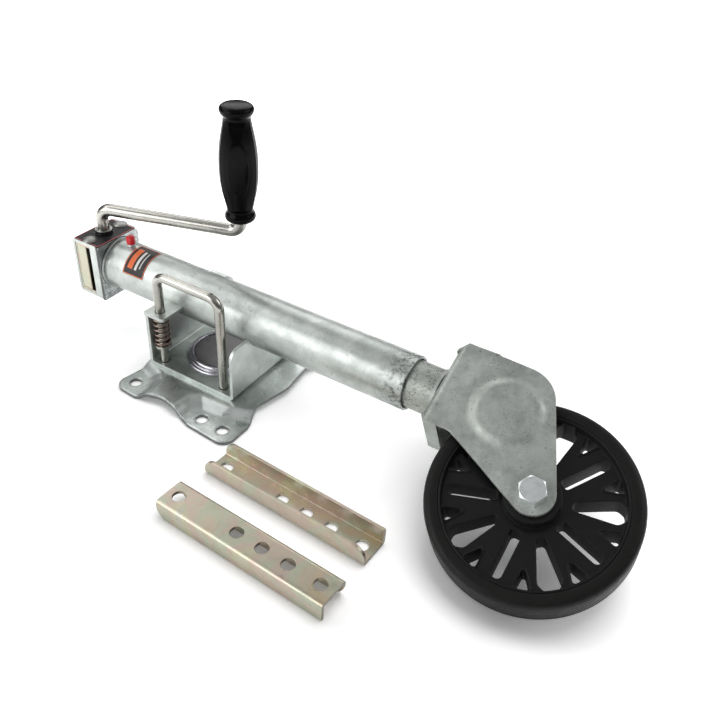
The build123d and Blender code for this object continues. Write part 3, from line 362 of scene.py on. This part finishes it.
def yellow_zinc(name, dull):
    """Chromated zinc: khaki with gold, rose and greenish patches, and dark ends where it was cut."""
    n = Nodes(name)
    n.set(Metallic=0.85)
    hue = n.noise(11, 4, 0.55, 1.2)
    base = n.ramp(hue, [
        (0.30, (0.55, 0.47, 0.26)),
        (0.40, (0.54, 0.44, 0.34)),
        (0.48, (0.46, 0.49, 0.38)),
        (0.56, (0.55, 0.43, 0.37)),
        (0.64, (0.53, 0.51, 0.36)),
        (0.74, (0.50, 0.50, 0.46)),
    ])
    base = n.mix(dull, base, (0.45, 0.46, 0.35))
    smear = n.noise(75, 5, 0.65, 0.6)
    base = n.mix(n.grey(smear, 0.0, 0.3, (0.5, 0.75)), base, (0.30, 0.25, 0.19))
    cut_end = n.math("GREATER_THAN", n.facing(X_AXIS), 0.8)
    base = n.mix(n.math("MULTIPLY", cut_end, 0.7), base, CUT_GREY)
    roughness = n.grey(n.noise(120, 4, 0.6), 0.26, 0.40)
    skin = n.bump(n.noise(800, 2, 0.5), 0.05, 0.0004, n.soft_edge(0.0009))
    return n.finish(base, roughness, skin)


def plain_steel(name, colour, rough, wave=0.0):
    """Machined or rolled steel: an even grey with faint marks."""
    n = Nodes(name)
    n.set(Metallic=0.95)
    cloud = n.noise(60, 5, 0.6)
    dark = tuple(0.78 * c for c in colour)
    base = n.ramp(cloud, [(0.35, dark), (0.65, colour)])
    roughness = n.grey(n.noise(200, 4, 0.6), rough, rough + 0.12)
    skin = n.bump(n.noise(1100, 2, 0.5), 0.04, 0.0003, n.soft_edge(0.0006))
    if wave > 0:
        skin = n.bump(n.noise(170, 3, 0.6), wave, 0.002, skin)
    return n.finish(base, roughness, skin)


def bush_steel():
    """The crank's bush: two bright rings with dark oil between and outside them."""
    n = Nodes("bush_steel")
    n.set(Metallic=0.95)
    x, y = n.split(n.jack_place())[:2]
    x = n.math("SUBTRACT", x, CRANK_X)
    radius = n.math("SQRT", n.math("ADD", n.math("MULTIPLY", x, x), n.math("MULTIPLY", y, y)))
    ring = 0.0
    for low, high in BRIGHT_RINGS:
        within = n.math("MULTIPLY", n.math("GREATER_THAN", radius, low), n.math("LESS_THAN", radius, high))
        ring = n.math("ADD", within, ring)
    base = n.mix(ring, (0.03, 0.03, 0.03), (0.62, 0.62, 0.58))
    return n.finish(base, n.grey(n.noise(200, 4, 0.6), 0.25, 0.4), n.soft_edge(0.0004))


# plastics, rubber and printed film
WALL_ROUGHNESS = 0.6
FILM_BLACK = (0.018, 0.016, 0.017)


def moulded(name, colour, rough, grain=0.05, grain_scale=900, gloss=0.5, coat=0.0, edge=0.0008, axis=None):
    """Moulded plastic or rubber with a faint grain, an uneven gloss, and dull walls along an axis."""
    n = Nodes(name)
    n.set(Metallic=0.0, Coat_Weight=coat, Coat_Roughness=0.12, Specular_IOR_Level=gloss)
    cloud = n.noise(80, 4, 0.6)
    base = n.ramp(cloud, [(0.3, tuple(0.8 * c for c in colour)), (0.7, tuple(1.25 * c for c in colour))])
    roughness = n.grey(n.noise(140, 4, 0.6), rough - 0.04, rough + 0.08)
    if axis is not None:
        wall = n.math("LESS_THAN", n.facing(axis), 0.5)
        roughness = n.math("MAXIMUM", roughness, n.math("MULTIPLY", wall, WALL_ROUGHNESS))
    skin = n.bump(n.noise(grain_scale, 3, 0.6), grain, 0.0004, n.soft_edge(edge))
    return n.finish(base, roughness, skin)


def head_film():
    """Black film on the head with a thin red line near its edge."""
    n = Nodes("head_film")
    n.set(Specular_IOR_Level=0.15)
    x, y = n.split(n.jack_place())[:2]
    line = n.frame_line(x, y, HEAD_FILM, 0.0005, 0.0014)
    base = n.mix(line, FILM_BLACK, (0.62, 0.16, 0.15))
    return n.finish(base, n.grey(n.noise(140, 4, 0.6), 0.3, 0.42))


def tube_film():
    """Black film round the tube: an orange edge, a broad orange band and two plain pale ones."""
    n = Nodes("tube_film")
    n.set(Specular_IOR_Level=0.3)
    x, y, z = n.split(n.jack_place())
    around = n.math("MULTIPLY", n.math("ARCTAN2", n.math("SUBTRACT", z, TUBE_Z), y), TUBE_R)
    line = n.frame_line(x, around, TUBE_FILM, 0.0003, 0.0013)
    base = n.mix(line, FILM_BLACK, (0.72, 0.17, 0.07))
    left, low = TUBE_FILM[0], TUBE_FILM[2]
    for (start, end, foot, top), colour in FILM_BARS:
        bar = n.inside(x, around, (left + start, left + end, low + foot, low + top))
        base = n.mix(bar, base, colour)
    return n.finish(base, n.grey(n.noise(140, 4, 0.6), 0.3, 0.42))


def joint(name):
    """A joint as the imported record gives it."""
    return next(entry for entry in frame["record"]["behaviour"]["joints"] if entry["name"] == name)


def make_finishes():
    """All finishes by name, with dark and light tones first and the roughness after them."""
    return {
        "tube_zinc": galvanised("tube_zinc", (0.37, 0.40, 0.38), (0.60, 0.63, 0.61), (0.33, 0.46), speck=0.4,
                                marks_and_shade=scrapes_and_end_shade, rough_zone=weld_zone),
        "sheet_zinc": galvanised("sheet_zinc", (0.38, 0.41, 0.39), (0.60, 0.635, 0.61), (0.28, 0.42),
                                 speck=0.2),
        "fork_zinc": galvanised("fork_zinc", (0.33, 0.35, 0.33), (0.55, 0.58, 0.55), (0.44, 0.60), speck=0.65,
                                wave=0.3, marks_and_shade=press_marks, speck_from=0.63),
        "plate_zinc": galvanised("plate_zinc", (0.42, 0.45, 0.44), (0.66, 0.70, 0.68), (0.24, 0.38),
                                 speck=0.45, edge=0.004, marks_and_shade=plate_rim_shade, speck_from=0.635),
        "face_zinc": galvanised("face_zinc", (0.22, 0.24, 0.24), (0.64, 0.67, 0.67), (0.12, 0.26), speck=0.2,
                                wave=1.0, marks_and_shade=face_edge_shade, wave_scale=85),
        "ram_zinc": galvanised("ram_zinc", (0.35, 0.37, 0.34), (0.49, 0.515, 0.48), (0.44, 0.56), speck=0.5,
                               wave=0.15, marks_and_shade=ram_marks),
        "bright_rod": bright_rod(),
        "yellow_zinc": yellow_zinc("yellow_zinc", 0.15),
        "pale_zinc": yellow_zinc("pale_zinc", 0.7),
        "hub_steel": plain_steel("hub_steel", (0.50, 0.49, 0.54), 0.22),
        "ram_steel": plain_steel("ram_steel", (0.46, 0.48, 0.46), 0.45),
        "bolt_zinc": plain_steel("bolt_zinc", (0.90, 0.94, 0.94), 0.26, wave=0.3),
        "rivet_steel": plain_steel("rivet_steel", (0.36, 0.36, 0.345), 0.34),
        "bush_steel": bush_steel(),
        "dark_steel": plain_steel("dark_steel", (0.30, 0.30, 0.31), 0.3),
        "spring_brown": plain_steel("spring_brown", (0.34, 0.25, 0.21), 0.26),
        "bronze": plain_steel("bronze", (0.66, 0.48, 0.26), 0.3),
        "dark_cap": moulded("dark_cap", (0.10, 0.09, 0.095), 0.36, coat=0.2),
        "nylon": moulded("nylon", (0.72, 0.72, 0.68), 0.45),
        "grip_black": moulded("grip_black", (0.002, 0.002, 0.0022), 0.2, grain=0.02, gloss=0.085),
        "cap_red": moulded("cap_red", (0.62, 0.012, 0.02), 0.32, grain=0.03),
        "head_film": head_film(),
        "tube_film": tube_film(),
        "wheel_black": moulded("wheel_black", (0.004, 0.004, 0.0045), 0.30, grain=0.08, grain_scale=1400,
                               gloss=0.32, edge=0.0016, axis=joint("wheel_spin")["axis"]),
        "tyre_black": moulded("tyre_black", (0.007, 0.007, 0.0065), 0.46, grain=0.25, gloss=0.2),
    }


FINISH_OF = {
    "mount_plate": "plate_zinc", "hub_flange": "hub_steel", "hub_cap": "dark_cap",
    "channel_near": "yellow_zinc", "channel_far": "yellow_zinc",
    "saddle_bracket": "sheet_zinc", "outer_tube": "tube_zinc", "tube_label": "tube_film",
    "guide_bush": "nylon", "head_shell": "sheet_zinc", "head_face_plate": "face_zinc",
    "gear_carrier": "yellow_zinc", "head_label": "head_film", "rivet_near": "rivet_steel",
    "rivet_far": "rivet_steel", "crank_bush": "bush_steel", "lower_bush": "sheet_zinc",
    "grease_nipple": "bolt_zinc", "nipple_cap": "cap_red", "screw_bearing": "nylon",
    "lock_spring": "spring_brown", "lock_rod": "bright_rod", "spring_collar": "bright_rod",
    "crank_rod": "bright_rod", "crank_pinion": "dark_steel", "crank_grip": "grip_black",
    "lead_screw": "dark_steel", "face_gear": "dark_steel", "thrust_washer": "dark_steel",
    "inner_tube": "ram_zinc", "drive_nut": "bronze", "slide_shoe": "nylon",
    "pivot_plug": "dark_steel", "pivot_clip": "dark_steel", "fork_washer": "ram_steel",
    "fork": "fork_zinc", "pivot_ring": "ram_steel", "axle_bolt": "bolt_zinc", "axle_nut": "bolt_zinc",
    "axle_sleeve": "dark_steel", "hub_spacer_upper": "nylon", "hub_spacer_lower": "nylon",
    "wheel_centre": "wheel_black", "tyre": "tyre_black", "hub_bush_upper": "nylon",
    "hub_bush_lower": "nylon",
}


def dress_nodes(finishes):
    """Gives every CAD node its finish."""
    for name, node in frame["nodes"].items():
        node.data.materials.clear()
        node.data.materials.append(finishes[FINISH_OF[name]])


# added pieces
def new_piece(name, mesh, finish):
    """A piece with its finish, which its maker may let ride a body."""
    piece = bpy.data.objects.new(name, mesh)
    bpy.context.collection.objects.link(piece)
    mesh.materials.append(finish)
    return piece


def joint_frame(name):
    """The place and axis of a joint, as a matrix whose z is the axis."""
    entry = joint(name)
    turn = Vector(entry["axis"]).to_track_quat("Z", "Y").to_matrix().to_4x4()
    return Matrix.Translation(Vector(entry["pos_m"])) @ turn


def lathe(name, profile, place, steps=192):
    """A closed (radius, height) profile turned about the z axis of a placed frame."""
    body = bmesh.new()
    rings = []
    for i in range(steps):
        angle = 2 * math.pi * i / steps
        c = math.cos(angle)
        s = math.sin(angle)
        rings.append([body.verts.new(place @ Vector((r * c, r * s, z))) for r, z in profile])
    for i, ring in enumerate(rings):
        after = rings[(i + 1) % steps]
        for j in range(len(profile)):
            k = (j + 1) % len(profile)
            body.faces.new((ring[j], after[j], after[k], ring[k]))
    bmesh.ops.recalc_face_normals(body, faces=body.faces)
    return mesh_from(name, body)


def mesh_from(name, body, sharp=30):
    """A smooth mesh from a bmesh, with its edges sharp above an angle in degrees."""
    mesh = bpy.data.meshes.new(name)
    body.to_mesh(mesh)
    body.free()
    mesh.polygons.foreach_set("use_smooth", [True] * len(mesh.polygons))
    mesh.set_sharp_from_angle(angle=math.radians(sharp))
    return mesh


# the tyre's section, in radius and height from the wheel's middle plane
TYRE_R = 0.100
TYRE_HALF = 0.020
SEAT_R = 0.092
BEAD_R = 0.086
BEAD_DEPTH = 0.003
BEAD_CORNER = ((0.0016, 0.0), (0.0005, 0.0004), (0.0, 0.0014))
SHOULDER_R = 0.007
SHOULDER_STEPS = 8
SEAM_Z = 0.0105
SEAM_DEPTH = 0.0006


def tyre_profile():
    """Half a tyre section from the seam to the bead, then mirrored."""
    half = [(TYRE_R, SEAM_Z - SEAM_DEPTH), (TYRE_R - SEAM_DEPTH, SEAM_Z), (TYRE_R, SEAM_Z + SEAM_DEPTH)]
    centre_r = TYRE_R - SHOULDER_R
    centre_z = TYRE_HALF - SHOULDER_R
    for step in range(SHOULDER_STEPS + 1):
        angle = math.radians(90 * step / SHOULDER_STEPS)
        half.append((centre_r + SHOULDER_R * math.cos(angle), centre_z + SHOULDER_R * math.sin(angle)))
    half += [(BEAD_R + out, TYRE_HALF - down) for out, down in BEAD_CORNER]
    half += [(BEAD_R, TYRE_HALF - BEAD_DEPTH), (SEAT_R, TYRE_HALF - BEAD_DEPTH)]
    return half + [(r, -z) for r, z in reversed(half)]


def add_tyre(finish):
    """The tyre, with round shoulders and a fine mould seam on each side of its tread."""
    mesh = lathe("tyre_band", tyre_profile(), joint_frame("wheel_spin"))
    piece = new_piece("tyre_band", mesh, finish)
    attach(piece, "wheel")
    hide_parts("tyre")
    return piece


# the gear carrier's folded sides, in the jack's frame: the start, floor and roof of the head's inside
HEAD_INSIDE = (-0.1988, 0.0522, 0.1176)
SIDE_L = 0.0168
SIDE_T = 0.0020
SIDE_Y = 0.0322
SIDE_ROOM_X = 0.0002
SIDE_ROOM_Z = 0.0026
SIDE_BEVEL = 0.0004


def plate_piece(name, low, high, bevel):
    """A thin plate in the jack's frame with softened edges."""
    body = bmesh.new()
    bmesh.ops.create_cube(body, size=1.0)
    middle = [(a + b) / 2 for a, b in zip(low, high)]
    for vert in body.verts:
        at = [m + c * (b - a) for m, c, a, b in zip(middle, vert.co, low, high)]
        vert.co = jack(*at)
    bmesh.ops.bevel(body, geom=body.edges[:], offset=bevel, segments=2, affect="EDGES")
    return mesh_from(name, body)


def add_carrier_sides(finish):
    """The yellow plates that close about three quarters of the head's open sides."""
    x0, z0, z1 = HEAD_INSIDE
    for side, name in ((-1, "carrier_side_near"), (1, "carrier_side_far")):
        y0, y1 = sorted((side * SIDE_Y, side * (SIDE_Y - SIDE_T)))
        low = (x0 + SIDE_ROOM_X, y0, z0 + SIDE_ROOM_Z)
        high = (x0 + SIDE_L, y1, z1 - SIDE_ROOM_Z)
        piece = new_piece(name, plate_piece(name, low, high, SIDE_BEVEL), finish)
        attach(piece, "saddle")


# the lock spring's round wire, with closed turns at both ends
WIRE_R = 0.0011
WIRE_SIDES = 12
OPEN_TURNS = 5.0
CLOSED_PITCH = 0.0023
STEPS_PER_TURN = 28


def spring_height(turns, low, high):
    """The wire's height after so many turns: a closed turn, the open ones, and a closed turn."""
    open_rise = high - low - 2 * CLOSED_PITCH
    if turns < 1:
        return low + CLOSED_PITCH * turns
    if turns < 1 + OPEN_TURNS:
        return low + CLOSED_PITCH + open_rise * (turns - 1) / OPEN_TURNS
    return high - CLOSED_PITCH * (2 + OPEN_TURNS - turns)


def add_spring(finish):
    """A coil of round wire between the lug and its collar."""
    low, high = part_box("lock_spring")
    middle = Vector(((low[0] + high[0]) / 2, (low[1] + high[1]) / 2, 0))
    radius = (high[0] - low[0]) / 2 - WIRE_R
    foot = low[2] + WIRE_R
    head = high[2] - WIRE_R
    body = bmesh.new()
    rings = []
    last = round((2 + OPEN_TURNS) * STEPS_PER_TURN)
    for step in range(last + 1):
        turns = step / STEPS_PER_TURN
        angle = 2 * math.pi * turns
        out = Vector((math.cos(angle), math.sin(angle), 0))
        at = middle + radius * out + Vector((0, 0, spring_height(turns, foot, head)))
        ring = []
        for side in range(WIRE_SIDES):
            round_wire = 2 * math.pi * side / WIRE_SIDES
            off = math.cos(round_wire) * out + Vector((0, 0, math.sin(round_wire)))
            ring.append(body.verts.new(at + WIRE_R * off))
        rings.append(ring)
    for first, second in zip(rings, rings[1:]):
        for i in range(WIRE_SIDES):
            j = (i + 1) % WIRE_SIDES
            body.faces.new((first[i], first[j], second[j], second[i]))
    body.faces.new(rings[0])
    body.faces.new(rings[-1])
    bmesh.ops.recalc_face_normals(body, faces=body.faces)
    piece = new_piece("spring_coil", mesh_from("spring_coil", body, 60), finish)
    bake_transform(piece)
    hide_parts("lock_spring")


# the grip stands on the crank's end; its heights are above its foot, and its turns start at a broad face
GRIP_AT = (-0.0139, 0.0553)
GRIP_FOOT = 0.1692
GRIP_FACING = math.radians(-54.0)
GRIP_BORE = 0.0079
GRIP_BORE_END = 0.1258
CHAMFER_OUT = 0.0012
CHAMFER_UP = 0.0015
RIDGE_TURN = math.radians(63)
RIDGE_WIDTH = math.radians(2.2)
RIDGE_PROUD = 0.00045
GRIP_STEPS = 180
FACE_DEPTH = 0.17
FACE_LOW = 0.0150
FACE_HIGH = 0.1195
FACE_FADE = 0.006
NOTCH_REACH = 0.0106
NOTCH_SLOPE = 0.25
NOTCH_COSINE = 0.2
OVAL_MIDDLE = 0.066
OVAL_HALF = (0.0125, 0.033)
OVAL_RIM = 0.08
OVAL_PROUD = 0.0004


def smooth_curve(points, steps):
    """A Catmull-Rom curve through (radius, height) points."""
    ends = [Vector(p) for p in [points[0]] + points + [points[-1]]]
    curve = []
    for a, b, c, d in zip(ends, ends[1:], ends[2:], ends[3:]):
        for step in range(steps):
            t = step / steps
            curve.append(0.5 * (2 * b + (c - a) * t + (2 * a - 5 * b + 4 * c - d) * t * t
                                + (3 * b - a - 3 * c + d) * t * t * t))
    curve.append(ends[-1])
    return curve


def grip_profile():
    """The grip turned: a foot bead, the barrel, a crown bead and a grooved top."""
    foot = [(0.0118, 0.0), (0.0146, 0.0007), (0.0169, 0.0026), (0.0179, 0.0057), (0.0172, 0.0090),
            (0.0159, 0.0115), (0.0151, 0.0140)]
    barrel = [(0.0156, 0.0180), (0.0174, 0.0260), (0.0200, 0.0380), (0.0217, 0.0520), (0.0221, 0.0660),
              (0.0216, 0.0800), (0.0200, 0.0940), (0.0178, 0.1060), (0.0164, 0.1130), (0.0155, 0.1185)]
    crown = [(0.0154, 0.1222), (0.0166, 0.1243), (0.0181, 0.1263), (0.0190, 0.1296), (0.0183, 0.1321),
             (0.0168, 0.1337), (0.0150, 0.1345)]
    top = [(0.0144, 0.1344), (0.0140, 0.1340), (0.0135, 0.1343), (0.0128, 0.1345)]
    return smooth_curve(foot + barrel + crown, 5) + [Vector(p) for p in top]


def grip_radius(radius, height, turn):
    """The turned radius, cut to two broad faces with a ridge beside each and a notch under the crown."""
    if not FACE_LOW < height < FACE_HIGH:
        return radius
    off = abs(math.remainder(turn, math.pi))
    fade = min(1.0, (height - FACE_LOW) / FACE_FADE, (FACE_HIGH - height) / FACE_FADE)
    if off < RIDGE_TURN:
        radius *= 1 - FACE_DEPTH * math.cos(math.pi / 2 * off / RIDGE_TURN)
    radius += fade * RIDGE_PROUD * math.exp(-((off - RIDGE_TURN) / RIDGE_WIDTH) ** 2)
    notch = NOTCH_REACH + NOTCH_SLOPE * (FACE_HIGH - height)
    radius = min(radius, notch / max(math.cos(off), NOTCH_COSINE))
    across = radius * math.sin(off) / OVAL_HALF[0]
    along = (height - OVAL_MIDDLE) / OVAL_HALF[1]
    inside = min(1.0, max(0.0, (1.0 - math.hypot(across, along)) / OVAL_RIM))
    return radius + OVAL_PROUD * inside * inside * (3 - 2 * inside)


def add_grip(finish):
    """The moulded grip: a barrel with two broad ridged faces, and a blind bore for the crank's end."""
    body = bmesh.new()
    outside = grip_profile()
    bore = [(GRIP_BORE + CHAMFER_OUT, 0.0), (GRIP_BORE, CHAMFER_UP), (GRIP_BORE, GRIP_BORE_END)]
    rings = []
    for radius, height in outside[::-1] + bore:
        ring = []
        for i in range(GRIP_STEPS):
            turn = 2 * math.pi * i / GRIP_STEPS
            at = grip_radius(radius, height, turn)
            x = GRIP_AT[0] + at * math.cos(turn + GRIP_FACING)
            y = GRIP_AT[1] + at * math.sin(turn + GRIP_FACING)
            ring.append(body.verts.new(jack(x, y, GRIP_FOOT + height)))
        rings.append(ring)
    for upper, lower in zip(rings, rings[1:]):
        for i in range(GRIP_STEPS):
            j = (i + 1) % GRIP_STEPS
            body.faces.new((upper[i], upper[j], lower[j], lower[i]))
    for ring, height in ((rings[0], outside[-1][1]), (rings[-1], GRIP_BORE_END)):
        centre = body.verts.new(jack(*GRIP_AT, GRIP_FOOT + height))
        for i in range(GRIP_STEPS):
            body.faces.new((ring[i], ring[(i + 1) % GRIP_STEPS], centre))
    bmesh.ops.recalc_face_normals(body, faces=body.faces)
    piece = new_piece("grip_barrel", mesh_from("grip_barrel", body, 40), finish)
    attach(piece, "grip")
    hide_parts("crank_grip")


# floor, sky and lights
FLOOR_SIZE = 5.0
FLOOR_MIDDLE = (0.15, -0.05, -0.0002)
FLOOR_WHITE = (0.97, 0.97, 0.97, 1.0)
NEAR_GLOW = (0.15, 0.15, 0.15)
FAR_GLOW = (1.1, 1.1, 1.1)
GLOW_RISE = (0.30, 0.62)
BACKDROP_WHITE = (1.1, 1.1, 1.1, 1.0)
# brightness of the room that the metals mirror, from straight below to straight above
ROOM_STOPS = ((0.0, 0.10), (0.15, 0.12), (0.5, 0.18), (0.75, 0.36), (1.0, 0.42))


def add_floor():
    """A white sweep that glows a little more away from the jack, so that it stays white to its edge."""
    bpy.ops.mesh.primitive_plane_add(size=FLOOR_SIZE, location=FLOOR_MIDDLE)
    floor = bpy.context.object
    floor.name = "floor"
    n = Nodes("floor_white")
    n.set(Roughness=0.9, Base_Color=FLOOR_WHITE, Emission_Strength=1.0, Specular_IOR_Level=0.2)
    away = n.tree.nodes.new("ShaderNodeVectorMath")
    away.operation = "LENGTH"
    n.link(n.place, away.inputs[0])
    glow = n.ramp(n.grey(away.outputs["Value"], 0.0, 1.0, GLOW_RISE), [(0.0, NEAR_GLOW), (1.0, FAR_GLOW)])
    n.link(glow, n.shader.inputs["Emission Color"])
    floor.data.materials.append(n.material)
    return floor


def add_world():
    """Dim walls below a paler ceiling for the metals to mirror, and plain white behind the jack."""
    world = bpy.data.worlds.new("studio")
    bpy.context.scene.world = world
    world.use_nodes = True
    tree = world.node_tree
    place = tree.nodes.new("ShaderNodeTexCoord")
    split = tree.nodes.new("ShaderNodeSeparateXYZ")
    ramp = tree.nodes.new("ShaderNodeValToRGB")
    tree.links.new(place.outputs["Generated"], split.inputs["Vector"])
    tree.links.new(split.outputs["Z"], ramp.inputs["Fac"])
    white = tree.nodes.new("ShaderNodeMix")
    white.data_type = "RGBA"
    seen, room_slot, white_slot = (white.inputs[slot] for slot in COLOUR_MIX_SLOTS)
    white_slot.default_value = BACKDROP_WHITE
    tree.links.new(tree.nodes.new("ShaderNodeLightPath").outputs["Is Camera Ray"], seen)
    tree.links.new(ramp.outputs["Color"], room_slot)
    tree.links.new(white.outputs[COLOUR_MIX_OUT], tree.nodes["Background"].inputs["Color"])
    set_stops(ramp.color_ramp, [(position, (value, value, value)) for position, value in ROOM_STOPS])
    tree.nodes["Background"].inputs["Strength"].default_value = 1.0


# the point that all lights face
LIGHT_AIM = (0.15, 0.0, 0.05)
# pieces low enough to lay a shadow on the floor
LOW_NODES = ("mount_plate", "saddle_bracket", "channel_near", "channel_far", "fork", "wheel_centre")


def add_light(name, at, size, power):
    """A soft rectangular light, sizes in metres and power in watts."""
    data = bpy.data.lights.new(name, "AREA")
    data.shape = "RECTANGLE"
    data.size = size[0]
    data.size_y = size[1]
    data.energy = power
    light = bpy.data.objects.new(name, data)
    bpy.context.collection.objects.link(light)
    light.location = at
    aim = Vector(LIGHT_AIM) - Vector(at)
    light.rotation_euler = aim.to_track_quat("-Z", "Y").to_euler()
    return light


def group(name, pieces, mode):
    """The pieces that a light link takes in alone (INCLUDE) or leaves out (EXCLUDE)."""
    links = bpy.data.collections.new(name)
    for piece in pieces:
        links.objects.link(piece)
    for entry in links.collection_objects:
        entry.light_linking.link_state = mode
    return links


def add_lights(floor, low_pieces):
    """A front card for the metals alone, a light that only lays the shadows, and soft lights behind."""
    front = add_light("key_front", (-0.7, -1.35, 0.80), (1.4, 1.2), 16)
    shade = add_light("floor_light", (0.34, 0.45, 1.95), (1.5, 1.3), 27)
    side = add_light("back_right", (1.25, 0.95, 1.25), (1.4, 1.1), 9)
    add_light("back_left", (-0.9, 1.25, 1.2), (1.6, 1.1), 9.5)
    add_light("top_left", (-1.1, -0.25, 1.45), (0.9, 0.9), 5)
    not_floor = group("not_floor", [floor], "EXCLUDE")
    front.light_linking.receiver_collection = not_floor
    side.light_linking.receiver_collection = not_floor
    shade.light_linking.receiver_collection = group("floor_only", [floor], "INCLUDE")
    shade.light_linking.blocker_collection = group("low_pieces", low_pieces, "INCLUDE")


def set_view():
    scene = bpy.context.scene
    scene.view_settings.view_transform = "Standard"
    scene.view_settings.look = "None"
    scene.view_settings.exposure = 0.0
    scene.view_settings.gamma = 1.0


add_camera()
add_world()
set_view()
finishes = make_finishes()
dress_nodes(finishes)
tyre = add_tyre(finishes["tyre_black"])
add_carrier_sides(finishes["pale_zinc"])
add_grip(finishes["grip_black"])
add_spring(finishes["spring_brown"])
add_lights(add_floor(), [frame["nodes"][name] for name in LOW_NODES] + [tyre])
